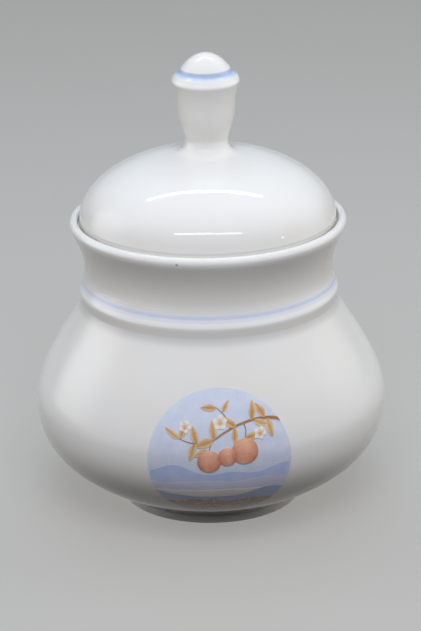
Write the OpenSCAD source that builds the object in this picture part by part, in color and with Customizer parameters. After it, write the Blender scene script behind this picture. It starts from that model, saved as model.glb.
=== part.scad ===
// Lidded jam pot of glazed porcelain: bellied pot with a ringed neck, domed lid, tall knob,
// fired-on blue lines and a round picture transfer on the front.
// Millimetres, +Z up. The origin is the middle of the standing ring, and the front looks along -Y.

/* [Foot] */
// Outside diameter of the standing ring
foot_d = 49.4; // [44:0.2:56]
// Width of the standing ring
foot_w = 3.2; // [2.4:0.1:5]
// Height of the foot's straight side
foot_h = 2.1; // [1.4:0.1:4]
// Rounding of the foot's two bottom edges
heel_r = 0.5; // [0.2:0.1:0.8]
// Height of the hollow under the floor
recess_h = 1.3; // [0.9:0.1:2]
// Thickness of the floor
floor_t = 2.8; // [2.2:0.1:3.6]

/* [Belly] */
// Largest diameter of the belly
belly_d = 96; // [86:0.5:112]
// Height from the top of the foot to the widest part of the belly
belly_rise = 27.3; // [22:0.1:36]
// Height from the widest part of the belly to the groove under the ring
shoulder_rise = 27.3; // [23:0.1:37]
// Thickness of the wall
wall = 2.6; // [2:0.1:3.2]

/* [Neck] */
// Inside diameter of the neck
mouth_d = 62.3; // [56:0.1:68]
// How far the ring stands out from the waist of the neck
ring_out = 1.35; // [0.9:0.05:2.5]
// How deep the groove lies behind the face of the ring
groove_depth = 0.2; // [0.1:0.05:1.2]
// How far down the shoulder the groove's hollow reaches
cove_low = 3.3; // [2:0.1:5]
// How far up the ring the groove's hollow reaches
cove_high = 0.9; // [0.5:0.1:2]
// Height from the groove to the widest part of the ring
ring_rise = 3.5; // [2.4:0.1:5]
// Height from the widest part of the ring to the waist of the neck
neck_rise = 6.2; // [4:0.1:9]
// Height from the waist of the neck to the widest part of the lip
lip_rise = 12.5; // [9:0.1:18]
// Thickness of the lip outside the lid's seat
lip_t = 2.3; // [2:0.05:3.2]
// Radius of the lip's rounded edge
lip_round = 1.3; // [0.8:0.05:1.6]

/* [Lid] */
// Width of the ledge from the neck's bore to under the widest part of the lid
seat_w = 3.55; // [2.4:0.1:4.5]
// Depth of the seat below the top of the lip
seat_drop = 2.2; // [1.6:0.1:3.5]
// Clearance between the lid and the lip around it
lid_gap = 0.4; // [0.3:0.05:0.8]
// How far the lid's flat underside draws in from its widest part
rim_in = 1.1; // [0.5:0.05:1.4]
// Height from the seat to the widest part of the lid
rim_h = 2; // [1.4:0.1:3.5]
// Height of the dome above the widest part of the lid
dome_h = 18.5; // [14:0.05:24]
// Thickness of the dome
dome_t = 2.6; // [2:0.1:3.2]
// Clearance between the skirt and the neck's bore
skirt_gap = 0.8; // [0.4:0.05:1.2]
// Thickness of the skirt
skirt_t = 2.2; // [1.6:0.1:3]
// Length of the skirt below the seat
skirt_h = 4.8; // [3:0.1:8]

/* [Knob] */
// Diameter of the knob's spread base
knob_base_d = 18.4; // [14.5:0.1:20]
// Diameter of the knob's waist
knob_waist_d = 11.4; // [9.5:0.1:13]
// Height from the base to the waist
knob_waist_rise = 3.85; // [3:0.05:6]
// Diameter of the knob half-way between its waist and its brim
cup_d = 15.3; // [13:0.1:17]
// Largest diameter of the knob, at its brim
brim_d = 18.1; // [17:0.1:22]
// Height from the waist to the brim
brim_rise = 16; // [12:0.1:20]
// Diameter of the boss on top of the knob
boss_d = 13; // [11:0.1:13.6]
// Height from the brim to the foot of the boss
boss_rise = 3.5; // [3:0.1:5]
// How far the brim's slope bends outside the boss
shelf_w = 1.1; // [0.8:0.1:1.5]
// How far the brim's slope bends below the foot of the boss
shelf_drop = 1.45; // [1.2:0.05:2.2]
// Height of the boss
boss_h = 4.1; // [2.6:0.1:5]
// Thickness of the hollow knob's wall
knob_t = 2.8; // [2:0.1:3.4]
// Diameter of the vent hole between the lid and the knob
vent_d = 3.5; // [2.5:0.1:3.8]

/* [Decoration] */
// Thickness of the fired-on colour, thicker than real
colour_t = 0.15; // [0.1:0.01:0.3]
// Height of the blue line on the neck
neck_band_h = 1.5; // [0.8:0.1:2.4]
// Height of that line's middle above the widest part of the ring
neck_band_rise = 2.9; // [1.6:0.1:4]
// Height of the blue line under the knob's boss
knob_band_h = 1.3; // [0.6:0.1:1.8]
// Diameter of the picture on the belly
medallion_d = 37.6; // [24:0.2:40]
// How far the picture's centre lies below the widest part of the belly
medallion_drop = 1.8; // [-3:0.1:4]

/* [Hidden] */
$fn = 120;
curve_steps = 12;

// Heights and radii of the pot, from the table up
foot_r = foot_d / 2;
recess_r = foot_r - foot_w;
floor_z = recess_h + floor_t;
belly_r = belly_d / 2;
belly_z = foot_h + belly_rise;
groove_z = belly_z + shoulder_rise;
ring_z = groove_z + ring_rise;
waist_z = ring_z + neck_rise;
lip_z = waist_z + lip_rise;
crest_z = lip_z + lip_round;
bore_r = mouth_d / 2;
waist_r = bore_r + wall;
ring_r = waist_r + ring_out;
groove_r = ring_r - groove_depth;
recess_round = min(heel_r, (recess_h - heel_r) / 2);
floor_blend = 0.4;
medallion_z = belly_z - medallion_drop;

// The lid's seat, and the lip round it
seat_z = crest_z - seat_drop;
seat_edge = 0.4;
lid_r = bore_r + seat_w;
seat_r = lid_r + lid_gap;
lip_r = seat_r + lip_t;
crest_r = lip_r - lip_round;

// The lid
rim_r = lid_r - rim_in;
rim_z = seat_z + rim_h;
skirt_r = bore_r - skirt_gap;
skirt_in_r = skirt_r - skirt_t;
skirt_z = seat_z - skirt_h;
vent_r = vent_d / 2;

// The knob stands on the flat that is cut across the dome, and its base runs into the dome's slope
knob_base_r = knob_base_d / 2;
crown_turn = acos(knob_base_r / lid_r);
crown_z = rim_z + dome_h * sin(crown_turn);
crown_slope = atan(dome_h / (lid_r * tan(crown_turn)));
knob_waist_r = knob_waist_d / 2;
knob_waist_z = crown_z + knob_waist_rise;
brim_r = brim_d / 2;
brim_z = knob_waist_z + brim_rise;
boss_r = boss_d / 2;
boss_z = brim_z + boss_rise;
top_z = boss_z + boss_h;
cup_r = cup_d / 2;
cup_z = (knob_waist_z + brim_z) / 2;
hollow_r = cup_r - knob_t;

// Direction of each outline where its stretches meet, in degrees up from level and outward
belly_toe = 34;
shoulder_lean = 121.6;
upright = 90;
inward = 180;
downward = 270;
lid_toe = 30;
knob_toe = inward - crown_slope;
cup_lean = 86;
shelf_lean = 150;
boss_lean = 122;

// How long each curve keeps to its two directions, as shares of the distance between its ends
belly_hold = [0.35, 0.46];
shoulder_hold = [0.27, 0.34];
cove_hold = [0.54, 0.15];
ring_hold = [0.4, 0.25];
neck_hold = [0.1, 0.4];
lip_hold = [0.47, 0.1];
knob_base_hold = [0.46, 0.38];
knob_waist_hold = [0.1, 0.52];
brim_hold = [0.64, 0.05];
boss_hold = [0.27, 0.37];
even_hold = [0.4, 0.4];

// A step of one in a direction, and a point on a cubic curve between two points
function heading(a) = [cos(a), sin(a)];
function cubic(p, u, v, q, t) =
    p * pow(1 - t, 3) + u * 3 * t * pow(1 - t, 2) + v * 3 * t * t * (1 - t) + q * pow(t, 3);

// A curve that leaves p at angle a and reaches q at angle b; hold says how long it keeps to each
function curve(p, a, q, b, hold) =
    let (chord = norm(q - p), u = p + hold[0] * chord * heading(a), v = q - hold[1] * chord * heading(b))
    [for (i = [0:curve_steps]) cubic(p, u, v, q, i / curve_steps)];

// An arc round a centre, from angle a to angle b
function arc(centre, r, a, b) =
    [for (i = [0:curve_steps]) centre + r * heading(a + (b - a) * i / curve_steps)];

// Paths joined end to end, with each shared end kept once
function joined(paths) =
    [for (k = [0:len(paths) - 1]) for (i = [0:len(paths[k]) - 1]) if (k == 0 || i > 0) paths[k][i]];
function reversed(path) = [for (i = [len(path) - 1:-1:0]) path[i]];

// A path moved inward by the thickness d
function along(path, i) = path[min(i + 1, len(path) - 1)] - path[max(i - 1, 0)];
function inset(path, d) =
    [for (i = [0:len(path) - 1]) let (t = along(path, i)) path[i] + d * [-t.y, t.x] / norm(t)];

// The stretch of a rising path between two heights
function r_at(path, z) = lookup(z, [for (p = path) [p.y, p.x]]);
function between(path, low, high) = concat(
    [[r_at(path, low), low]],
    [for (p = path) if (p.y > low && p.y < high) p],
    [[r_at(path, high), high]]);

// A layer of colour on the outside of a path
function layer(path) = concat(path, reversed([for (p = path) p + [colour_t, 0]]));

// The outline of an elliptical dome between two radii
function dome(r, h, from_r, to_r) =
    let (a = acos(from_r / r), b = acos(to_r / r), steps = 2 * curve_steps)
    [for (i = [0:steps]) let (w = a + (b - a) * i / steps) [r * cos(w), rim_z + h * sin(w)]];

// Outside of the pot
foot_path = joined([
    arc([foot_r - heel_r, heel_r], heel_r, -90, 0),
    [[foot_r, heel_r], [foot_r, foot_h]]]);
shoulder_end = [groove_r, groove_z] - cove_low * heading(shoulder_lean);
cove_end = [groove_r, groove_z + cove_high];
belly_path = joined([
    curve([foot_r, foot_h], belly_toe, [belly_r, belly_z], upright, belly_hold),
    curve([belly_r, belly_z], upright, shoulder_end, shoulder_lean, shoulder_hold)]);
neck_path = joined([
    curve(shoulder_end, shoulder_lean, cove_end, upright, cove_hold),
    curve(cove_end, upright, [ring_r, ring_z], upright, ring_hold),
    curve([ring_r, ring_z], upright, [waist_r, waist_z], upright, neck_hold),
    curve([waist_r, waist_z], upright, [lip_r, lip_z], upright, lip_hold)]);
lip_path = joined([
    arc([crest_r, lip_z], lip_round, 0, upright),
    curve([crest_r, crest_z], inward, [seat_r, seat_z], downward, even_hold)]);

// Inside of the pot, from the floor up to the seat
belly_inset = inset(belly_path, wall);
belly_in = concat(
    [[0, floor_z], [r_at(belly_inset, floor_z), floor_z]],
    [for (p = belly_inset) if (p.y > floor_z + floor_blend) p]);
neck_in = curve(belly_inset[len(belly_inset) - 1], shoulder_lean, [bore_r, ring_z], upright, even_hold);
pot_inside = concat(
    joined([belly_in, neck_in]),
    [[bore_r, seat_z - seat_edge], [bore_r + seat_edge, seat_z]]);

// Underside of the pot, from the middle out to the standing ring
pot_underside = concat(
    [[0, recess_h]],
    arc([recess_r - recess_round, recess_h - recess_round], recess_round, upright, 0),
    arc([recess_r + heel_r, heel_r], heel_r, inward, downward));

module pot() {
    color("#f3f2ee") rotate_extrude() polygon(concat(
        pot_underside, joined([foot_path, belly_path, neck_path, lip_path]), reversed(pot_inside)));
}

module lid() {
    outside = joined([
        curve([rim_r, seat_z], lid_toe, [lid_r, rim_z], upright, even_hold),
        dome(lid_r, dome_h, lid_r, knob_base_r)]);
    inside = dome(lid_r - dome_t, dome_h - dome_t, skirt_in_r, vent_r);
    skirt = arc([skirt_in_r + skirt_t / 2, skirt_z + skirt_t / 2], skirt_t / 2, inward, inward + 180);
    color("#f3f3f1") rotate_extrude() polygon(concat(
        skirt, [[skirt_r, seat_z]], outside, [[vent_r, crown_z]], reversed(inside)));
}

// Outside of the knob, from its base to the top of its boss
shelf = [boss_r + shelf_w, boss_z - shelf_drop];
knob_path = joined([
    curve([knob_base_r, crown_z], knob_toe, [knob_waist_r, knob_waist_z], upright, knob_base_hold),
    curve([knob_waist_r, knob_waist_z], upright, [cup_r, cup_z], cup_lean, knob_waist_hold),
    curve([cup_r, cup_z], cup_lean, [brim_r, brim_z], upright, brim_hold),
    curve([brim_r, brim_z], upright, shelf, shelf_lean, even_hold),
    curve(shelf, shelf_lean, [boss_r, boss_z], boss_lean, even_hold),
    curve([boss_r, boss_z], boss_lean, [0, top_z], inward, boss_hold)]);

module knob() {
    hollow_waist_r = knob_waist_r - knob_t;
    hollow = joined([
        [[hollow_waist_r, crown_z], [hollow_waist_r, knob_waist_z]],
        curve([hollow_waist_r, knob_waist_z], upright, [hollow_r, cup_z], upright, even_hold),
        [[hollow_r, cup_z], [hollow_r, brim_z - knob_t]],
        curve([hollow_r, brim_z - knob_t], upright, [0, top_z - knob_t], inward, even_hold)]);
    color("#f1f0ec") rotate_extrude() polygon(concat(knob_path, reversed(hollow)));
}

module neck_band() {
    middle_z = ring_z + neck_band_rise;
    stretch = between(neck_path, middle_z - neck_band_h / 2, middle_z + neck_band_h / 2);
    color("#b3bad8") rotate_extrude() polygon(layer(stretch));
}

module knob_band() {
    color("#a9bde4") rotate_extrude() polygon(layer(between(knob_path, boss_z - knob_band_h, boss_z)));
}

module medallion() {
    color("#bcc6e2") intersection() {
        rotate_extrude() polygon(layer(belly_path));
        translate([0, 0, medallion_z]) rotate([90, 0, 0]) cylinder(d = medallion_d, h = belly_d);
    }
}

pot();
lid();
knob();
neck_band();
knob_band();
medallion();
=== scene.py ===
import bisect
import math
import random

import bpy
from mathutils import Matrix, Vector
from mathutils.geometry import interpolate_bezier


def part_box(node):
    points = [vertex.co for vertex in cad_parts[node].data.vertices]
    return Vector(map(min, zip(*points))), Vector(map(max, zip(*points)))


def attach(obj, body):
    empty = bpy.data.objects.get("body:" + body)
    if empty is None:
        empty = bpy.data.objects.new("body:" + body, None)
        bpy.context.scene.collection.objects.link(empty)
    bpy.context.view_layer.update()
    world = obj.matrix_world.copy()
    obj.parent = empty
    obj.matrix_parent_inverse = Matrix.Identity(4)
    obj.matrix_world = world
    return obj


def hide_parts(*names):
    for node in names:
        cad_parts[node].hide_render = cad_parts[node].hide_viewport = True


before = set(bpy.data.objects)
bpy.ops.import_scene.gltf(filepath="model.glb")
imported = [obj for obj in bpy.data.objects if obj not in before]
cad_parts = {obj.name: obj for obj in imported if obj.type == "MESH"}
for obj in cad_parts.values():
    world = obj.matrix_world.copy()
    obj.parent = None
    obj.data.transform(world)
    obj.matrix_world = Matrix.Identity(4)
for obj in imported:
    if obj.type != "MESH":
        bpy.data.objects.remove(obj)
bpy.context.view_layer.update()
mm = 0.001  # sizes below are in millimetres, the scene is in metres
print("frame loaded:", ", ".join(sorted(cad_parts)))


# Small helpers

def linear(colour):
    channels = [int(colour[i:i + 2], 16) / 255 for i in (1, 3, 5)]
    return [c / 12.92 if c <= 0.04045 else ((c + 0.055) / 1.055) ** 2.4 for c in channels] + [1]


def addNode(tree, kind, settings=None, values=None, links=None):
    node = tree.nodes.new(kind)
    for name, value in (settings or {}).items():
        setattr(node, name, value)
    for socket, value in (values or {}).items():
        node.inputs[socket].default_value = value
    for socket, source in (links or {}).items():
        tree.links.new(source, node.inputs[socket])
    return node


def newMaterial(name):
    material = bpy.data.materials.new(name)
    material.use_nodes = True
    material.node_tree.nodes.clear()
    return material, material.node_tree


def span(node):
    low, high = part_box(node)
    return low / mm, high / mm


def editPiece(piece):
    bpy.ops.object.mode_set(mode="OBJECT")
    bpy.ops.object.select_all(action="DESELECT")
    piece.select_set(True)
    bpy.context.view_layer.objects.active = piece
    bpy.ops.object.mode_set(mode="EDIT")
    bpy.ops.mesh.select_all(action="SELECT")


def applyModifier(piece, kind, **settings):
    bpy.ops.object.mode_set(mode="OBJECT")
    bpy.context.view_layer.objects.active = piece
    modifier = piece.modifiers.new(kind.lower(), kind)
    for name, value in settings.items():
        setattr(modifier, name, value)
    bpy.ops.object.modifier_apply(modifier=modifier.name)


def smoothPiece(piece, crease):
    bpy.ops.object.mode_set(mode="OBJECT")
    bpy.ops.object.select_all(action="DESELECT")
    piece.select_set(True)
    bpy.context.view_layer.objects.active = piece
    bpy.ops.object.shade_smooth_by_angle(angle=math.radians(crease))


def finishPiece(piece, material, body, slot, *nodes):
    piece.data.name = piece.name
    piece.data.materials.clear()
    piece.data.materials.append(material)
    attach(piece, body)
    if nodes:
        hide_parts(*nodes)
    print("piece:", piece.name, len(piece.data.polygons), "faces on", body)


# Outlines of turned pieces: each knot is a place and the two handles beside it, as radius and height

turning = {
    "steps": 144,      # round the axis
    "detail": 16,      # points on each stretch of an outline
    "crease": 42,      # sharper corners than this stay sharp, in degrees
    "roundHold": (0.39, 0.39),  # handles that make a quarter circle
    "evenHold": (0.4, 0.4),
    "weld": 0.001,     # points nearer than this become one
    "near": 0.01,      # how near a point lies to a ring that it is on
}


def startAt(radius, height):
    place = Vector((radius, height))
    return [[place, place, place]]


def curveTo(outline, radius, height, leave, arrive, holds):
    start = outline[-1][0]
    place = Vector((radius, height))
    chord = (place - start).length
    out = Vector((math.cos(math.radians(leave)), math.sin(math.radians(leave))))
    back = Vector((math.cos(math.radians(arrive)), math.sin(math.radians(arrive))))
    outline[-1][2] = start + holds[0] * chord * out
    outline.append([place, place - holds[1] * chord * back, place])


def lineTo(outline, radius, height):
    start = outline[-1][0]
    place = Vector((radius, height))
    outline[-1][2] = start.lerp(place, 1 / 3)
    outline.append([place, place.lerp(start, 1 / 3), place])


def ovalTo(outline, middle, reach, rise, first, last):
    # part of an ellipse about the axis, between two angles
    hold = 4 / 3 * math.tan((last - first) / 4)
    place = Vector((reach * math.cos(last), middle + rise * math.sin(last)))
    outline[-1][2] = outline[-1][0] + hold * Vector((-reach * math.sin(first), rise * math.cos(first)))
    outline.append([place, place - hold * Vector((-reach * math.sin(last), rise * math.cos(last))), place])


def turnOutline(name, outline):
    bpy.ops.object.select_all(action="DESELECT")
    bpy.ops.curve.primitive_bezier_curve_add()
    piece = bpy.context.object
    piece.name = name
    spline = piece.data.splines[0]
    spline.resolution_u = turning["detail"]
    spline.bezier_points.add(len(outline) - 2)
    for point, knot in zip(spline.bezier_points, outline):
        point.handle_left_type = "FREE"
        point.handle_right_type = "FREE"
        place, before, after = [Vector((p.x, 0, p.y)) * mm for p in knot]
        point.co = place
        point.handle_left = before
        point.handle_right = after
    bpy.ops.object.convert(target="MESH")
    editPiece(piece)
    bpy.ops.mesh.remove_doubles(threshold=turning["weld"] * mm)
    bpy.ops.mesh.select_all(action="SELECT")
    bpy.ops.mesh.spin(steps=turning["steps"], angle=2 * math.pi, center=(0, 0, 0), axis=(0, 0, 1))
    bpy.ops.mesh.select_all(action="SELECT")
    bpy.ops.mesh.remove_doubles(threshold=turning["weld"] * mm)
    bpy.ops.mesh.normals_make_consistent(inside=False)
    smoothPiece(piece, turning["crease"])
    return piece


def sharpRing(piece, radius, height):
    # keeps the edge ring at this radius and height sharp, however flat the angle there
    editPiece(piece)
    bpy.ops.mesh.select_all(action="DESELECT")
    bpy.ops.mesh.select_mode(type="EDGE")
    bpy.ops.object.mode_set(mode="OBJECT")
    near = turning["near"] * mm
    onRing = [abs(math.hypot(p.co.x, p.co.y) - radius * mm) < near and abs(p.co.z - height * mm) < near
              for p in piece.data.vertices]
    for edge in piece.data.edges:
        edge.select = onRing[edge.vertices[0]] and onRing[edge.vertices[1]]
    bpy.ops.object.mode_set(mode="EDIT")
    bpy.ops.mesh.mark_sharp()
    bpy.ops.mesh.select_mode(type="VERT")
    bpy.ops.object.mode_set(mode="OBJECT")


def liftBand(name, source, low, high, reach):
    # a skin just off a turned piece, between two heights and outside a radius
    bpy.ops.object.mode_set(mode="OBJECT")
    bpy.ops.object.select_all(action="DESELECT")
    source.select_set(True)
    bpy.context.view_layer.objects.active = source
    bpy.ops.object.duplicate()
    band = bpy.context.object
    band.name = name
    editPiece(band)
    bpy.ops.mesh.bisect(plane_co=(0, 0, low * mm), plane_no=(0, 0, 1), clear_inner=True)
    bpy.ops.mesh.select_all(action="SELECT")
    bpy.ops.mesh.bisect(plane_co=(0, 0, high * mm), plane_no=(0, 0, 1), clear_outer=True)
    bpy.ops.mesh.select_all(action="DESELECT")
    bpy.ops.object.mode_set(mode="OBJECT")
    for point in band.data.vertices:
        point.select = math.hypot(point.co.x, point.co.y) < reach * mm
    bpy.ops.object.mode_set(mode="EDIT")
    bpy.ops.mesh.delete(type="VERT")
    applyModifier(band, "SOLIDIFY", thickness=skin["thickness"] * mm, offset=1)
    smoothPiece(band, turning["crease"])
    return band


# Materials

glaze = {
    "white": "#E5E4E2",
    "warm": "#E3E0DA",          # faint drift of the white
    "drift": 16,                # spacing of that drift
    # painted light and shade by height, set against the photo to make up for light that the lamps don't give
    "paintedShades": (                  # colour, height and how far up and down it fades
        ("#F7F7F6", 61.0, 2.2),     # painted highlight on the ring
        ("#D3D2D0", 56.7, 2.0),     # painted shade in the hollow under it
        ("#CFCECC", 80.55, 0.5),    # painted shadow along the lid's lower edge
        ("#F8F8F7", 78.3, 1.6),     # painted highlight on the lip's outer turn
        ("#FBFBFA", 117.9, 1.1),    # painted highlight on the knob's brim
        ("#EDECEA", 28.0, 13.0),    # painted light on the turn of the belly
    ),
    "bisque": "#E2DACC",        # bare fired clay
    "bisqueRoughness": 0.75,
    "bareFoot": 0.35,           # the standing ring is bare up to here
    "seatMargin": 0.1,          # the faces where lid and pot touch are bare, and this far beyond
    "fleck": "#B7B0AA",         # one burnt-in grain under the lip
    "fleckPlace": (-9.85, -36.0, 78.6),
    "fleckSize": 0.36,
    "softEdge": 0.3,            # share of its size over which a bare patch or a fleck fades
    "roughness": (0.03, 0.08),
    "ior": 1.52,
    "wave": 2.4,                # spacing and depth of the glaze's soft waves
    "waveDepth": 0.008,
}


def glazeSkin(tree, place, colour, roughness):
    # clear glassy glaze: sharp highlights, very slightly wavy from the firing
    waves = addNode(tree, "ShaderNodeTexNoise", {}, {"Scale": 1 / (glaze["wave"] * mm), "Detail": 1.5},
                    {"Vector": place})
    bump = addNode(tree, "ShaderNodeBump", {}, {"Distance": glaze["waveDepth"] * mm, "Strength": 1},
                   {"Height": waves.outputs["Fac"]})
    skinNode = addNode(tree, "ShaderNodeBsdfPrincipled", {}, {"IOR": glaze["ior"]},
                       {"Base Color": colour, "Roughness": roughness, "Normal": bump.outputs["Normal"]})
    addNode(tree, "ShaderNodeOutputMaterial", {}, {}, {"Surface": skinNode.outputs["BSDF"]})


def glazeGloss(tree, place):
    # the glaze is a little duller in patches
    low, high = glaze["roughness"]
    patches = addNode(tree, "ShaderNodeTexNoise", {}, {"Scale": 1 / (glaze["drift"] * mm), "Detail": 3},
                      {"Vector": place})
    return addNode(tree, "ShaderNodeMapRange", {}, {"To Min": low, "To Max": high},
                   {"Value": patches.outputs["Fac"]}).outputs["Result"]


def glazeColour(tree, place, height):
    # a white that drifts a little, with painted light and shade by height over it
    drift = addNode(tree, "ShaderNodeTexNoise", {}, {"Scale": 1 / (glaze["drift"] * mm), "Detail": 2},
                    {"Vector": place})
    colour = addNode(tree, "ShaderNodeMix", {"data_type": "RGBA"},
                     {6: linear(glaze["white"]), 7: linear(glaze["warm"])},
                     {0: drift.outputs["Fac"]}).outputs[2]
    # painted light and shade: each band of height mixes its colour in, fading out above and below it
    for tint, level, fade in glaze["paintedShades"]:
        above = addNode(tree, "ShaderNodeMath", {"operation": "SUBTRACT"}, {1: level * mm}, {0: height})
        off = addNode(tree, "ShaderNodeMath", {"operation": "ABSOLUTE"}, {}, {0: above.outputs[0]})
        share = addNode(tree, "ShaderNodeMapRange", {"interpolation_type": "SMOOTHSTEP"},
                        {"From Min": fade * mm, "From Max": 0}, {"Value": off.outputs[0]})
        colour = addNode(tree, "ShaderNodeMix", {"data_type": "RGBA"}, {7: linear(tint)},
                         {0: share.outputs["Result"], 6: colour}).outputs[2]
    return colour


def glazedPorcelain():
    # clear glaze over white clay, matt and creamy where it was wiped off
    material, tree = newMaterial("glazed porcelain")
    place = addNode(tree, "ShaderNodeTexCoord").outputs["Object"]
    height = addNode(tree, "ShaderNodeSeparateXYZ", {}, {}, {"Vector": place}).outputs["Z"]
    outer, inner = 1 + glaze["softEdge"], 1 - glaze["softEdge"]
    grain = addNode(tree, "ShaderNodeVectorMath", {"operation": "DISTANCE"},
                    {1: Vector(glaze["fleckPlace"]) * mm}, {0: place})
    fleck = addNode(tree, "ShaderNodeMapRange", {"interpolation_type": "SMOOTHSTEP"},
                    {"From Min": outer * glaze["fleckSize"] * mm,
                     "From Max": inner * glaze["fleckSize"] * mm},
                    {"Value": grain.outputs["Value"]})
    colour = addNode(tree, "ShaderNodeMix", {"data_type": "RGBA"}, {7: linear(glaze["fleck"])},
                     {0: fleck.outputs["Result"], 6: glazeColour(tree, place, height)}).outputs[2]
    seat = span("pot")[1].z - pot["seatDrop"]
    seatReach = pot["mouth"] / 2 + pot["seatWidth"] + glaze["seatMargin"]
    level = addNode(tree, "ShaderNodeVectorMath", {"operation": "MULTIPLY"}, {1: (1, 1, 0)}, {0: place})
    radius = addNode(tree, "ShaderNodeVectorMath", {"operation": "LENGTH"}, {}, {0: level.outputs["Vector"]})
    within = addNode(tree, "ShaderNodeMath", {"operation": "LESS_THAN"}, {1: seatReach * mm},
                     {0: radius.outputs["Value"]})
    atSeat = addNode(tree, "ShaderNodeMath", {"operation": "COMPARE"},
                     {1: seat * mm, 2: glaze["seatMargin"] * mm}, {0: height})
    onSeat = addNode(tree, "ShaderNodeMath", {"operation": "MULTIPLY"}, {},
                     {0: within.outputs[0], 1: atSeat.outputs[0]})
    onFoot = addNode(tree, "ShaderNodeMapRange", {"interpolation_type": "SMOOTHSTEP"},
                     {"From Min": outer * glaze["bareFoot"] * mm,
                      "From Max": inner * glaze["bareFoot"] * mm},
                     {"Value": height})
    bare = addNode(tree, "ShaderNodeMath", {"operation": "MAXIMUM"}, {},
                   {0: onSeat.outputs[0], 1: onFoot.outputs["Result"]}).outputs[0]
    colour = addNode(tree, "ShaderNodeMix", {"data_type": "RGBA"}, {7: linear(glaze["bisque"])},
                     {0: bare, 6: colour}).outputs[2]
    roughness = addNode(tree, "ShaderNodeMix", {"data_type": "FLOAT"}, {3: glaze["bisqueRoughness"]},
                        {0: bare, 2: glazeGloss(tree, place)}).outputs[0]
    glazeSkin(tree, place, colour, roughness)
    return material


def inGlazeLine(name, line):
    # blue painted on the raw glaze and sunk into it: uneven strength, edges that run
    material, tree = newMaterial(name)
    place = addNode(tree, "ShaderNodeTexCoord").outputs["Object"]
    height = addNode(tree, "ShaderNodeSeparateXYZ", {}, {}, {"Vector": place}).outputs["Z"]
    sway = addNode(tree, "ShaderNodeTexNoise", {}, {"Scale": 1 / (line["swayLength"] * mm), "Detail": 1},
                   {"Vector": place})
    shift = addNode(tree, "ShaderNodeMapRange", {},
                    {"To Min": -line["sway"] * mm, "To Max": line["sway"] * mm},
                    {"Value": sway.outputs["Fac"]})
    run = addNode(tree, "ShaderNodeMath", {"operation": "ADD"}, {},
                  {0: height, 1: shift.outputs["Result"]}).outputs[0]
    colour = glazeColour(tree, place, height)
    thin, thick = skin["loadReach"]
    for tint, low, lowFade, high, highFade in line["strokes"]:
        foot = addNode(tree, "ShaderNodeMapRange", {"interpolation_type": "SMOOTHSTEP"},
                       {"From Min": (low - lowFade) * mm, "From Max": (low + lowFade) * mm}, {"Value": run})
        head = addNode(tree, "ShaderNodeMapRange", {"interpolation_type": "SMOOTHSTEP"},
                       {"From Min": (high + highFade) * mm, "From Max": (high - highFade) * mm},
                       {"Value": run})
        body = addNode(tree, "ShaderNodeMath", {"operation": "MULTIPLY"}, {},
                       {0: foot.outputs["Result"], 1: head.outputs["Result"]})
        load = addNode(tree, "ShaderNodeTexNoise", {}, {"Scale": 1 / (line["load"] * mm), "Detail": 2},
                       {"Vector": place})
        strength = addNode(tree, "ShaderNodeMapRange", {},
                           {"From Min": thin, "From Max": thick, "To Min": skin["leastLoad"]},
                           {"Value": load.outputs["Fac"]})
        cover = addNode(tree, "ShaderNodeMath", {"operation": "MULTIPLY"}, {},
                        {0: body.outputs[0], 1: strength.outputs["Result"]})
        colour = addNode(tree, "ShaderNodeMix", {"data_type": "RGBA"}, {7: linear(tint)},
                         {0: cover.outputs[0], 6: colour}).outputs[2]
    glazeSkin(tree, place, colour, glazeGloss(tree, place))
    return material


def firedColour(name, tone):
    # ceramic colour from a printed transfer, melted into the glaze: soft washes with a fine grain.
    # The tone goes from deep to pale: rib works from the middle line out, eased by a power, and tip from
    # one end to the other.
    material, tree = newMaterial(name)
    coordinates = addNode(tree, "ShaderNodeTexCoord")
    place = coordinates.outputs["Object"]
    chart = addNode(tree, "ShaderNodeSeparateXYZ", {}, {}, {"Vector": coordinates.outputs["UV"]})
    twice = addNode(tree, "ShaderNodeMath", {"operation": "MULTIPLY_ADD"}, {1: 2, 2: -1},
                    {0: chart.outputs["X"]})
    aside = addNode(tree, "ShaderNodeMath", {"operation": "ABSOLUTE"}, {}, {0: twice.outputs[0]})
    rib = addNode(tree, "ShaderNodeMath", {"operation": "POWER"}, {1: tone["ease"]}, {0: aside.outputs[0]})
    blotch = addNode(tree, "ShaderNodeTexNoise", {}, {"Scale": 1 / (washes["blotch"] * mm), "Detail": 3},
                     {"Vector": place})
    grain = addNode(tree, "ShaderNodeTexNoise", {}, {"Scale": 1 / (washes["grain"] * mm), "Detail": 1},
                    {"Vector": place})
    share = addNode(tree, "ShaderNodeMath", {"operation": "MULTIPLY_ADD"},
                    {1: tone["rib"], 2: tone["start"]}, {0: rib.outputs[0]})
    share = addNode(tree, "ShaderNodeMath", {"operation": "MULTIPLY_ADD"}, {1: tone["tip"]},
                    {0: chart.outputs["Y"], 2: share.outputs[0]})
    for noise, weight in ((blotch, tone["wash"]), (grain, washes["grainWeight"])):
        centred = addNode(tree, "ShaderNodeMath", {"operation": "SUBTRACT"}, {1: 0.5},
                          {0: noise.outputs["Fac"]})
        share = addNode(tree, "ShaderNodeMath", {"operation": "MULTIPLY_ADD", "use_clamp": True},
                        {1: weight}, {0: centred.outputs[0], 2: share.outputs[0]})
    colour = addNode(tree, "ShaderNodeMix", {"data_type": "RGBA"},
                     {6: linear(tone["deep"]), 7: linear(tone["pale"])}, {0: share.outputs[0]})
    glazeSkin(tree, place, colour.outputs[2], glazeGloss(tree, place))
    return material


# Pot: foot ring, belly, ringed neck and lip, with the lid's seat inside

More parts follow.
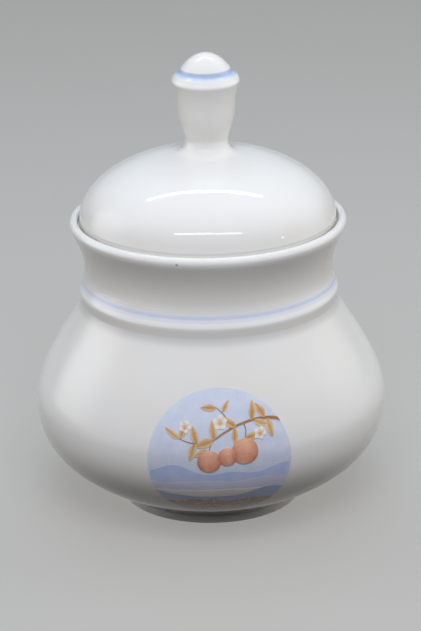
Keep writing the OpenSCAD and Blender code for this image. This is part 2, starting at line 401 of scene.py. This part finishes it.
pot = {
    "footWidth": 49.4,
    "ringWidth": 3.2,
    "footHeight": 2.1,
    "heel": 0.5,
    "recess": 1.3,
    "recessRound": 0.4,
    "floor": 2.8,
    "wall": 2.6,
    "belly": 96,
    "bellyRise": 27.3,
    "shoulderRise": 27.3,
    "grooveDepth": 0.2,
    "cove": (3.3, 0.9),       # the corner under the ring is rounded this far down and up
    "ringOut": 1.35,
    "ringRise": 3.5,
    "neckRise": 6.2,
    "mouth": 62.3,
    "lip": 2.3,
    "lipRound": 1.3,
    "seatWidth": 3.95,
    "seatDrop": 2.2,
    "seatEdge": 0.4,
    "bellyToe": 34,
    "shoulderLean": 121.6,
    "bellyHold": (0.35, 0.46),
    "shoulderHold": (0.27, 0.34),
    "coveHold": (0.54, 0.15),
    "ringHold": (0.4, 0.25),
    "neckHold": (0.1, 0.4),
    "lipHold": (0.47, 0.1),
}


def shoulderEnd():
    # where the shoulder's slope ends and the hollow under the ring starts
    lean = math.radians(pot["shoulderLean"])
    radius = pot["mouth"] / 2 + pot["wall"] + pot["ringOut"] - pot["grooveDepth"]
    height = pot["footHeight"] + pot["bellyRise"] + pot["shoulderRise"]
    return Vector((radius, height)) - pot["cove"][0] * Vector((math.cos(lean), math.sin(lean)))


def potOutside():
    top = span("pot")[1].z
    foot = pot["footWidth"] / 2
    recess = foot - pot["ringWidth"]
    bellyHeight = pot["footHeight"] + pot["bellyRise"]
    groove = bellyHeight + pot["shoulderRise"]
    ring = groove + pot["ringRise"]
    waist = ring + pot["neckRise"]
    bore = pot["mouth"] / 2
    waistRadius = bore + pot["wall"]
    ringRadius = waistRadius + pot["ringOut"]
    lipRadius = bore + pot["seatWidth"] + pot["lip"]
    turn = turning["roundHold"]
    line = startAt(0, pot["recess"])
    lineTo(line, recess - pot["recessRound"], pot["recess"])
    curveTo(line, recess, pot["recess"] - pot["recessRound"], 0, 270, turn)
    lineTo(line, recess, pot["heel"])
    curveTo(line, recess + pot["heel"], 0, 270, 0, turn)
    lineTo(line, foot - pot["heel"], 0)
    curveTo(line, foot, pot["heel"], 0, 90, turn)
    lineTo(line, foot, pot["footHeight"])
    curveTo(line, pot["belly"] / 2, bellyHeight, pot["bellyToe"], 90, pot["bellyHold"])
    curveTo(line, *shoulderEnd(), 90, pot["shoulderLean"], pot["shoulderHold"])
    curveTo(line, ringRadius - pot["grooveDepth"], groove + pot["cove"][1], pot["shoulderLean"], 90,
            pot["coveHold"])
    curveTo(line, ringRadius, ring, 90, 90, pot["ringHold"])
    curveTo(line, waistRadius, waist, 90, 90, pot["neckHold"])
    curveTo(line, lipRadius, top - pot["lipRound"], 90, 90, pot["lipHold"])
    curveTo(line, lipRadius - pot["lipRound"], top, 90, 180, turn)
    return line


def makePot():
    bore = pot["mouth"] / 2
    seat = span("pot")[1].z - pot["seatDrop"]
    floor = pot["recess"] + pot["floor"]
    bellyHeight = pot["footHeight"] + pot["bellyRise"]
    ring = bellyHeight + pot["shoulderRise"] + pot["ringRise"]
    out = math.radians(pot["shoulderLean"] - 90)
    inner = shoulderEnd() - pot["wall"] * Vector((math.cos(out), math.sin(out)))
    even = turning["evenHold"]
    line = potOutside()
    curveTo(line, bore + pot["seatWidth"], seat, 180, 270, even)
    lineTo(line, bore + pot["seatEdge"], seat)
    lineTo(line, bore, seat - pot["seatEdge"])
    lineTo(line, bore, ring)
    curveTo(line, *inner, 270, 180 + pot["shoulderLean"], even)
    curveTo(line, pot["belly"] / 2 - pot["wall"], bellyHeight, 180 + pot["shoulderLean"], 270,
            pot["shoulderHold"][::-1])
    curveTo(line, pot["footWidth"] / 2, floor, 270, 180 + pot["bellyToe"], pot["bellyHold"][::-1])
    lineTo(line, 0, floor)
    return turnOutline("pot_body", line)


# Lid: domed cover with a rim that rests on the seat and a skirt inside the neck

lid = {
    "rimIn": 1.1,
    "rimHeight": 2,
    "rimToe": 30,
    "dome": 2.6,
    "skirt": 2.2,
    "skirtGap": 0.8,
    "skirtDrop": 4.8,
    "domeHeight": 18.5,
    "vent": 3.5,
}


def makeLid():
    low, high = span("lid")
    base = knob["base"] / 2
    seat = low.z + lid["skirtDrop"]
    rim = seat + lid["rimHeight"]
    skirt = pot["mouth"] / 2 - lid["skirtGap"]
    skirtIn = skirt - lid["skirt"]
    vent = lid["vent"] / 2
    reachIn, riseIn = high.x - lid["dome"], lid["domeHeight"] - lid["dome"]
    top, foot = math.acos(vent / reachIn), math.acos(skirtIn / reachIn)
    even, turn = turning["evenHold"], turning["roundHold"]
    line = startAt(vent, high.z)
    lineTo(line, vent, rim + riseIn * math.sin(top))
    ovalTo(line, rim, reachIn, riseIn, top, foot)
    lineTo(line, skirtIn, low.z + lid["skirt"] / 2)
    curveTo(line, skirtIn + lid["skirt"] / 2, low.z, 270, 0, turn)
    curveTo(line, skirt, low.z + lid["skirt"] / 2, 0, 90, turn)
    lineTo(line, skirt, seat)
    lineTo(line, high.x - lid["rimIn"], seat)
    curveTo(line, high.x, rim, lid["rimToe"], 90, even)
    ovalTo(line, rim, high.x, lid["domeHeight"], 0, math.acos(base / high.x))
    lineTo(line, vent, high.z)
    piece = turnOutline("lid_dome", line)
    sharpRing(piece, base, high.z)
    return piece


# Knob: hollow casting with a spread base, a waist, a brim and a domed boss

knob = {
    "base": 18.4,
    "waist": 11.4,
    "waistRise": 3.85,
    "cup": 15.3,
    "brim": 18.1,
    "brimRise": 16,
    "boss": 13,
    "bossRise": 3.5,
    "shelfWidth": 1.1,
    "shelfDrop": 1.45,
    "wall": 2.8,
    "cupLean": 86,
    "shelfLean": 150,
    "bossLean": 122,
    "baseHold": (0.46, 0.38),
    "waistHold": (0.1, 0.52),
    "brimHold": (0.64, 0.05),
    "bossHold": (0.27, 0.37),
}


def makeKnob():
    low, high = span("knob")
    waist = low.z + knob["waistRise"]
    brim = waist + knob["brimRise"]
    cup = (waist + brim) / 2
    boss, bossFoot = knob["boss"] / 2, brim + knob["bossRise"]
    dome = span("lid")[1].x
    slope = lid["domeHeight"] / (dome * math.tan(math.acos(knob["base"] / 2 / dome)))
    toe = 180 - math.degrees(math.atan(slope))      # the base runs on from the dome
    hollowWaist = knob["waist"] / 2 - knob["wall"]
    hollow = knob["cup"] / 2 - knob["wall"]
    even = turning["evenHold"]
    line = startAt(0, high.z - knob["wall"])
    curveTo(line, hollow, brim - knob["wall"], 0, 270, even)
    lineTo(line, hollow, cup)
    curveTo(line, hollowWaist, waist, 270, 270, even)
    lineTo(line, hollowWaist, low.z)
    lineTo(line, knob["base"] / 2, low.z)
    curveTo(line, knob["waist"] / 2, waist, toe, 90, knob["baseHold"])
    curveTo(line, knob["cup"] / 2, cup, 90, knob["cupLean"], knob["waistHold"])
    curveTo(line, knob["brim"] / 2, brim, knob["cupLean"], 90, knob["brimHold"])
    curveTo(line, boss + knob["shelfWidth"], bossFoot - knob["shelfDrop"], 90, knob["shelfLean"], even)
    curveTo(line, boss, bossFoot, knob["shelfLean"], knob["bossLean"], even)
    curveTo(line, 0, high.z, knob["bossLean"], 180, knob["bossHold"])
    return turnOutline("lid_knob", line)


porcelain = glazedPorcelain()
print("porcelain ready")
potBody = makePot()
lidDome = makeLid()
lidKnob = makeKnob()


# Blue lines round the neck and under the knob's boss

skin = {
    "thickness": 0.05,  # of the colour over the porcelain
    "leastLoad": 0.75,  # strength where the brush carried least
    "loadReach": (0.3, 0.7),    # part of the noise that this spreads over
}

neckLine = {
    "reach": (60.9, 64.6),
    "strokes": (        # colour, lower edge and its softness, upper edge and its softness
        ("#E6EAF4", 61.6, 0.4, 64.0, 0.5),
        ("#D1D6E9", 62.5, 0.2, 63.4, 0.5),
    ),
    "sway": 0.12,
    "swayLength": 11,
    "load": 3,
}

knobLine = {
    "reach": (119.2, 121.6),
    "strokes": (
        ("#BFCCDF", 119.5, 0.3, 121.1, 0.2),
        ("#A9B7D7", 120.0, 0.35, 121.05, 0.2),
    ),
    "sway": 0.1,
    "swayLength": 5,
    "load": 2,
}


def makeLines():
    neck = liftBand("neck_line", potBody, *neckLine["reach"], pot["mouth"] / 2 + pot["wall"] / 2)
    boss = liftBand("knob_line", lidKnob, *knobLine["reach"], knob["boss"] / 2 - knob["shelfWidth"])
    finishPiece(potBody, porcelain, "pot", "porcelain", "pot")
    finishPiece(lidDome, porcelain, "lid", "porcelain", "lid")
    finishPiece(lidKnob, porcelain, "lid", "porcelain", "knob")
    finishPiece(neck, inGlazeLine("blue line on the neck", neckLine), "pot", "blue_line", "neck_band")
    finishPiece(boss, inGlazeLine("blue line on the knob", knobLine), "lid", "blue_line", "knob_band")


makeLines()


# Round picture on the front: fruit sprig over hills, drawn flat in millimetres and laid on the belly

washes = {
    "blotch": 3.2,      # spacing of the watercolour clouds
    "grain": 0.5,       # print grain, coarser than real so that it shows
    "grainWeight": 0.35,
}

picture = {
    "lift": 0.04,       # lowest layer of colour over the glaze
    "layer": 0.025,     # each further layer lies this much higher
    "thickness": 0.02,
    "weld": 0.002,
    "crease": 30,
    "seed": 11,
    "bellySteps": 400,  # points on each stretch of the belly that it lies on
}

# cells of the flat grids, across and along where they differ
grids = {
    "sky": 48,
    "hill": (72, 10),
    "twig": (2, 14),
    "leaf": (6, 12),
    "fruit": 14,
    "flower": 4,
    "heart": 6,
}

# layers above the hills, counted from the sky up
layers = {"grass": 6, "flowers": 7, "twigs": 6, "leaves": 7, "fruits": 8, "petals": 9, "hearts": 10}

tones = {
    "sky": {"deep": "#C2CBE3", "pale": "#DEE3F0", "wash": 0.9,
            "start": 0.3, "rib": 0, "ease": 1, "tip": 0.3},
    "far hills": {"deep": "#A9B9E6", "pale": "#CBD5F0", "wash": 0.9,
                  "start": 0.9, "rib": 0, "ease": 1, "tip": -0.7},
    "mist": {"deep": "#C3C6E4", "pale": "#DEDEEF", "wash": 0.9,
             "start": 0.8, "rib": 0, "ease": 1, "tip": -0.5},
    "shore": {"deep": "#DDD8CD", "pale": "#F0EDE7", "wash": 1.0,
              "start": 0.6, "rib": 0, "ease": 1, "tip": 0},
    "near hills": {"deep": "#9BAEDC", "pale": "#BECBEA", "wash": 0.9,
                   "start": 0.9, "rib": 0, "ease": 1, "tip": -0.8},
    "meadow": {"deep": "#84604F", "pale": "#C09A82", "wash": 1.4,
               "start": 0.3, "rib": 0, "ease": 1, "tip": 0.3},
    "twig": {"deep": "#92694A", "pale": "#C09A6E", "wash": 0.9,
             "start": 0.2, "rib": 0.4, "ease": 1, "tip": 0.2},
    "leaf": {"deep": "#BC8B57", "pale": "#EBD0A8", "wash": 1.0,
             "start": 0.0, "rib": 0.8, "ease": 0.7, "tip": 0.1},
    "fruit": {"deep": "#BE6445", "pale": "#F3BDA0", "wash": 0.7,
              "start": 0.4, "rib": -0.5, "ease": 2, "tip": 0.6},
    "petal": {"deep": "#E5C3B2", "pale": "#F6F1EA", "wash": 0.5,
              "start": 0.1, "rib": 0.1, "ease": 1, "tip": 0.9},
    "flower": {"deep": "#CF9052", "pale": "#EDCB99", "wash": 0.8,
               "start": 0.3, "rib": 0, "ease": 1, "tip": 0.4},
}

# each hill: its level, its humps as height, middle and width, and its lower edge
hills = {
    "far hills": (-3.9, ((3.4, -12, 6), (1.5, 3, 5), (2.6, 17, 6)), -8),
    "mist": (-6.4, ((1.3, -4, 7), (1.7, 11, 6)), -10),
    "shore": (-8.6, ((0.5, 2, 9),), -11.5),
    "near hills": (-10.6, ((2.4, 13, 6), (1.5, -17, 6)), -14.5),
    "meadow": (-13, ((1.1, -7, 5), (0.8, 9, 6)), -19),
}

# twigs as start, bend, end and the two widths; the first one comes in over the edge
twigs = (
    ((16.6, 10.2), (8, 13.2), (-1.5, 6.6), 0.85, 0.45),
    ((-1.5, 6.6), (-5.5, 4.6), (-10.5, 6.8), 0.45, 0.2),
    ((6.4, 10.1), (7.2, 8.6), (6.6, 6.6), 0.35, 0.25),
    ((-1.5, 6.6), (-2.6, 5.4), (-2.8, 3.8), 0.35, 0.25),
    ((2.8, 9.0), (2.6, 12), (-0.8, 14.4), 0.35, 0.2),
)

# fruits as place and radius
fruits = (((1.9, 2.0), 2.5), ((6.5, 3.2), 3.5), ((-2.9, 0.8), 3.1))

# leaves as root, direction in degrees and length
leaves = (
    ((11.9, 11.2), 118, 4.4), ((12.6, 11.0), -75, 5.0), ((8.4, 10.9), 80, 4.8), ((9.0, 10.8), -25, 4.2),
    ((4.4, 9.6), 150, 4.6), ((4.0, 9.4), -95, 4.4), ((-1.5, 6.6), 95, 4.8), ((-1.5, 6.6), -160, 5.4),
    ((-6.0, 5.6), 110, 4.6), ((-6.6, 5.6), -110, 4.8), ((-10.5, 6.8), 150, 4.4), ((-10.3, 6.8), 70, 3.8),
    ((-0.6, 14.2), 175, 4.2), ((0.9, 13.2), 60, 3.2), ((6.6, 6.6), 15, 4.6), ((-2.8, 3.8), -165, 4.4),
)

# blossoms as place and radius
blossoms = (((0.2, 10.8), 1.9), ((10.6, 7.6), 1.7), ((-8.9, 9.8), 1.6))

leafForm = {
    "swell": 0.85,          # below 1 the widest place lies nearer the root
    "blunt": 0.8,           # below 1 both ends are blunter
    "width": (0.36, 0.46),  # shares of the length
    "curl": (-0.6, 0.6),
}

petalForm = {
    "count": 5,
    "width": 0.95,          # share of the length
    "heart": 0.28,          # and the size of the middle
}

meadow = {
    "flowers": 34,
    "flowerSize": (0.25, 0.55),
    "flowerBand": (-17.5, -11.8),   # heights, from the middle of the picture
    "flowerMargin": 1,              # kept free inside the edge
    "blades": 46,
    "bladeLength": (1.0, 2.4),
    "bladeWidths": (0.22, 0.05),    # at the root and at the tip
    "bladeLean": (-0.6, 0.6),
    "bladeBand": (-17.5, -12.8),
    "bladeMargin": 2.6,
}

bellyLine = []
for startKnot, endKnot in zip(potOutside(), potOutside()[1:]):
    bellyLine += interpolate_bezier(startKnot[0], startKnot[2], endKnot[1], endKnot[0],
                                    picture["bellySteps"])
grooveHeight = pot["footHeight"] + pot["bellyRise"] + pot["shoulderRise"]
bellyLine = [p for p in bellyLine if pot["footHeight"] < p.y < grooveHeight]
bellyHeights = [p.y for p in bellyLine]
pictureLow, pictureHigh = span("medallion")
pictureRadius = (pictureHigh.x - pictureLow.x) / 2
pictureHeight = (pictureHigh.z + pictureLow.z) / 2
draw = random.Random(picture["seed"])


def bellyRadius(height):
    i = bisect.bisect(bellyHeights, height)
    below, above = bellyLine[i - 1], bellyLine[i]
    return below.x + (above.x - below.x) * (height - below.y) / (above.y - below.y)


def paintPatch(across, along, shape):
    # a grid whose points go where shape says, from -1 to 1 across and from 0 to 1 along
    bpy.ops.object.select_all(action="DESELECT")
    bpy.ops.mesh.primitive_grid_add(x_subdivisions=across, y_subdivisions=along, size=2)
    patch = bpy.context.object
    for point in patch.data.vertices:
        aside, up = shape(point.co.x, (point.co.y + 1) / 2)
        point.co = (aside, up, 0)
    return patch


def paintRound(middle, radius, cells):
    def shape(s, t):
        b = 2 * t - 1
        return (middle[0] + radius * s * math.sqrt(1 - b * b / 2),
                middle[1] + radius * b * math.sqrt(1 - s * s / 2))
    return paintPatch(cells, cells, shape)


def paintHill(level, humps, bottom):
    def shape(s, t):
        aside = s * pictureRadius
        edge = math.sqrt(max(0, pictureRadius ** 2 - aside ** 2))
        top = level + sum(h * math.exp(-((aside - c) / w) ** 2) for h, c, w in humps)
        low, high = max(-edge, min(edge, bottom)), max(-edge, min(edge, top))
        return aside, low + (high - low) * t
    return paintPatch(*grids["hill"], shape)


def paintTwig(start, bend, end, startWidth, endWidth):
    start, bend, end = Vector(start), Vector(bend), Vector(end)

    def shape(s, t):
        middle = start.lerp(bend, t).lerp(bend.lerp(end, t), t)
        way = (bend - start).lerp(end - bend, t).normalized()
        width = startWidth + (endWidth - startWidth) * t
        return middle + Vector((way.y, -way.x)) * s * width / 2
    return paintPatch(*grids["twig"], shape)


def paintLeaf(root, turn, length, width, curl):
    way = Vector((math.cos(math.radians(turn)), math.sin(math.radians(turn))))
    side = Vector((way.y, -way.x))

    def shape(s, t):
        half = width / 2 * math.sin(math.pi * t ** leafForm["swell"]) ** leafForm["blunt"]
        return Vector(root) + way * length * t + side * (s * half + curl * t * t)
    return paintPatch(*grids["leaf"], shape)


def joinPatches(name, patches):
    bpy.ops.object.select_all(action="DESELECT")
    for patch in patches:
        patch.select_set(True)
    bpy.context.view_layer.objects.active = patches[0]
    bpy.ops.object.join()
    patches[0].name = name
    return patches[0]


def layOnBelly(piece, level, tone):
    # every point is kept inside the round and goes straight back to the belly, lifted by its layer
    lift = picture["lift"] + level * picture["layer"]
    for point in piece.data.vertices:
        inside = min(1, pictureRadius / max(point.co.length, 1))
        aside, height = point.co.x * inside, pictureHeight + point.co.y * inside
        reach = bellyRadius(height) + lift
        point.co = Vector((aside, -math.sqrt(reach ** 2 - aside ** 2), height)) * mm
    editPiece(piece)
    bpy.ops.mesh.remove_doubles(threshold=picture["weld"] * mm)
    bpy.ops.mesh.select_all(action="SELECT")
    bpy.ops.mesh.dissolve_degenerate(threshold=picture["weld"] * mm)
    applyModifier(piece, "SOLIDIFY", thickness=picture["thickness"] * mm, offset=-1)
    smoothPiece(piece, picture["crease"])
    replaced = ("medallion",) if level == 0 else ()
    finishPiece(piece, firedColour(tone + " print", tones[tone]), "pot", "picture", *replaced)


def insidePicture(margin, low, high):
    while True:
        spot = Vector((draw.uniform(-pictureRadius, pictureRadius), draw.uniform(low, high)))
        if spot.length < pictureRadius - margin:
            return spot


def makePicture():
    ground = paintRound((0, 0), pictureRadius, grids["sky"])
    ground.name = "picture_sky"
    layOnBelly(ground, 0, "sky")
    for level, (name, hill) in enumerate(hills.items(), 1):
        piece = paintHill(*hill)
        piece.name = "picture_" + name.replace(" ", "_")
        layOnBelly(piece, level, name)
    blades = []
    for i in range(meadow["blades"]):
        root = insidePicture(meadow["bladeMargin"], *meadow["bladeBand"])
        lean = draw.uniform(*meadow["bladeLean"])
        tall = draw.uniform(*meadow["bladeLength"])
        tip = root + Vector((lean, tall))
        blades.append(paintTwig(root, root + Vector((0, tall / 2)), tip, *meadow["bladeWidths"]))
    layOnBelly(joinPatches("picture_grass", blades), layers["grass"], "twig")
    dots = []
    for i in range(meadow["flowers"]):
        spot = insidePicture(meadow["flowerMargin"], *meadow["flowerBand"])
        dots.append(paintRound(spot, draw.uniform(*meadow["flowerSize"]), grids["flower"]))
    layOnBelly(joinPatches("picture_flowers", dots), layers["flowers"], "flower")
    branches = [paintTwig(*twig) for twig in twigs]
    layOnBelly(joinPatches("picture_twigs", branches), layers["twigs"], "twig")
    foliage = []
    for root, turn, length in leaves:
        width = length * draw.uniform(*leafForm["width"])
        foliage.append(paintLeaf(root, turn, length, width, draw.uniform(*leafForm["curl"])))
    layOnBelly(joinPatches("picture_leaves", foliage), layers["leaves"], "leaf")
    rounds = [paintRound(middle, radius, grids["fruit"]) for middle, radius in fruits]
    layOnBelly(joinPatches("picture_fruits", rounds), layers["fruits"], "fruit")
    petals, hearts = [], []
    step = 360 / petalForm["count"]
    for middle, radius in blossoms:
        spin = draw.uniform(0, step)
        for i in range(petalForm["count"]):
            petals.append(paintLeaf(middle, spin + step * i, radius, radius * petalForm["width"], 0))
        hearts.append(paintRound(middle, petalForm["heart"] * radius, grids["heart"]))
    layOnBelly(joinPatches("picture_petals", petals), layers["petals"], "petal")
    layOnBelly(joinPatches("picture_hearts", hearts), layers["hearts"], "flower")


makePicture()


# Stage: plain pale floor, two bar lights, a small window, soft panels and the camera

stage = {
    "floorSize": 8000,
    "floorColour": "#B9B8B5",   # as the camera and the glaze see it
    "floorGlow": 0.6,           # share of that colour that no falloff dims
    "floorBounce": "#3F3933",   # what it throws back on to the pot
    "room": "#F6F7FA",
    "roomStrength": 0.114,
}

lamps = {
    "bar_back": {"size": (400, 18), "place": (-8, 126, 445), "aim": (-14, 0, 90),
                 "watts": 0.3, "colour": "#F4F7FF", "mirrored": True},
    "bar_front": {"size": (172, 8), "place": (-5, -143, 196), "aim": (4, -31, 88),
                  "watts": 0.05, "colour": "#F7F9FF", "mirrored": True},
    "window": {"size": (16, 16), "place": (562, -271, 168), "aim": (20, -24, 85),
               "watts": 0.00004, "colour": "#FFFFFF", "mirrored": True, "spread": 6},
    "top_panel": {"size": (300, 300), "place": (0, -200, 600), "aim": (0, 0, 40),
                  "watts": 0.6, "colour": "#D8EAFF", "mirrored": False},
    "back_panel": {"size": (600, 400), "place": (0, 350, 520), "aim": (0, 0, 60),
                   "watts": 1.2, "colour": "#B8DCFF", "mirrored": False},
    "front_panel": {"size": (500, 500), "place": (0, -650, 700), "aim": (0, 0, 40),
                    "watts": 5.15, "colour": "#FBFBFF", "mirrored": False},
    "left_panel": {"size": (320, 520), "place": (-440, 105, 160), "aim": (0, 105, 160),
                   "watts": 0.45, "colour": "#FFFFFF", "mirrored": False},
    "right_panel": {"size": (320, 520), "place": (440, 105, 160), "aim": (0, 105, 160),
                    "watts": 1.25, "colour": "#FFFEFC", "mirrored": False},
    "left_wall": {"size": (460, 560), "place": (-400, 105, 160), "aim": (0, 105, 160),
                  "watts": 1.3, "colour": "#FFFFFF", "mirrored": True, "edge": 0.8},
    "right_wall": {"size": (460, 560), "place": (400, 105, 160), "aim": (0, 105, 160),
                   "watts": 0.4, "colour": "#FFFFFF", "mirrored": True, "edge": 0.8},
}

cameraView = {
    "distance": 738.4,
    "elevation": 20.35,
    "azimuth": -2.6,
    "aimHeight": 51.1,
    "aside": 0.27,
    "roll": -0.95,
    "lens": 153.9,
}


def makeFloor():
    bpy.ops.object.select_all(action="DESELECT")
    bpy.ops.mesh.primitive_plane_add(size=stage["floorSize"] * mm)
    floor = bpy.context.object
    floor.name = "floor"
    material, tree = newMaterial("pale studio floor")
    pale = linear(stage["floorColour"])
    matt = addNode(tree, "ShaderNodeBsdfDiffuse", {}, {"Color": pale})
    glow = addNode(tree, "ShaderNodeEmission", {}, {"Color": pale})
    seen = addNode(tree, "ShaderNodeMixShader", {}, {"Fac": stage["floorGlow"]},
                   {1: matt.outputs["BSDF"], 2: glow.outputs["Emission"]})
    bounce = addNode(tree, "ShaderNodeBsdfDiffuse", {}, {"Color": linear(stage["floorBounce"])})
    path = addNode(tree, "ShaderNodeLightPath")
    mirrored = addNode(tree, "ShaderNodeMath", {"operation": "MAXIMUM"}, {},
                       {0: path.outputs["Is Glossy Ray"], 1: path.outputs["Is Transmission Ray"]})
    shown = addNode(tree, "ShaderNodeMath", {"operation": "MAXIMUM"}, {},
                    {0: path.outputs["Is Camera Ray"], 1: mirrored.outputs[0]})
    either = addNode(tree, "ShaderNodeMixShader", {}, {},
                     {0: shown.outputs[0], 1: bounce.outputs["BSDF"], 2: seen.outputs["Shader"]})
    addNode(tree, "ShaderNodeOutputMaterial", {}, {}, {"Surface": either.outputs["Shader"]})
    floor.data.materials.append(material)


def fadeLamp(light, edge):
    # brightest in the middle and fading out over this share of the way to the edge, as a soft box is
    light.use_nodes = True
    tree = light.node_tree
    tree.nodes.clear()
    spot = addNode(tree, "ShaderNodeNewGeometry").outputs["Parametric"]
    sides = addNode(tree, "ShaderNodeSeparateXYZ", {}, {}, {"Vector": spot})
    parts = []
    for side in ("X", "Y"):
        twice = addNode(tree, "ShaderNodeMath", {"operation": "MULTIPLY_ADD"}, {1: 2, 2: -1},
                        {0: sides.outputs[side]})
        off = addNode(tree, "ShaderNodeMath", {"operation": "ABSOLUTE"}, {}, {0: twice.outputs[0]})
        fade = addNode(tree, "ShaderNodeMapRange", {"interpolation_type": "SMOOTHSTEP"},
                       {"From Min": 1, "From Max": 1 - edge}, {"Value": off.outputs[0]})
        parts.append(fade.outputs["Result"])
    strength = addNode(tree, "ShaderNodeMath", {"operation": "MULTIPLY"}, {}, {0: parts[0], 1: parts[1]})
    glow = addNode(tree, "ShaderNodeEmission", {}, {}, {"Strength": strength.outputs[0]})
    addNode(tree, "ShaderNodeOutputLight", {}, {}, {"Surface": glow.outputs["Emission"]})


def makeLamps():
    for name, lamp in lamps.items():
        place, aim = Vector(lamp["place"]), Vector(lamp["aim"])
        bpy.ops.object.light_add(type="AREA")
        light = bpy.context.object
        light.name = name
        light.data.shape = "RECTANGLE"
        light.data.size = lamp["size"][0] * mm
        light.data.size_y = lamp["size"][1] * mm
        light.data.energy = lamp["watts"]
        light.data.color = linear(lamp["colour"])[:3]
        light.location = place * mm
        light.rotation_euler = (place - aim).to_track_quat("Z", "Y").to_euler()
        light.visible_camera = False
        light.visible_glossy = lamp["mirrored"]
        if "spread" in lamp:
            light.data.spread = math.radians(lamp["spread"])    # a beam that meets the lid alone
        if "edge" in lamp:
            fadeLamp(light.data, lamp["edge"])


def makeWorld():
    world = bpy.data.worlds.new("soft room")
    world.use_nodes = True
    tree = world.node_tree
    tree.nodes.clear()
    light = addNode(tree, "ShaderNodeBackground", {},
                    {"Color": linear(stage["room"]), "Strength": stage["roomStrength"]})
    addNode(tree, "ShaderNodeOutputWorld", {}, {}, {"Surface": light.outputs["Background"]})
    bpy.context.scene.world = world


def makeCamera():
    turn, rise = math.radians(cameraView["azimuth"]), math.radians(cameraView["elevation"])
    back = Vector((math.sin(turn) * math.cos(rise), -math.cos(turn) * math.cos(rise), math.sin(rise)))
    right = Vector((math.cos(turn), math.sin(turn), 0))
    aim = Vector((0, 0, cameraView["aimHeight"])) + right * cameraView["aside"]
    bpy.ops.object.camera_add()
    camera = bpy.context.object
    camera.data.lens = cameraView["lens"]
    facing = back.to_track_quat("Z", "Y").to_matrix().to_4x4()
    roll = Matrix.Rotation(math.radians(cameraView["roll"]), 4, "Z")
    camera.matrix_world = Matrix.Translation((aim + back * cameraView["distance"]) * mm) @ facing @ roll
    bpy.context.scene.camera = camera


makeFloor()
makeLamps()
makeWorld()
makeCamera()
bpy.context.scene.view_settings.view_transform = "Standard"
print("stage ready")
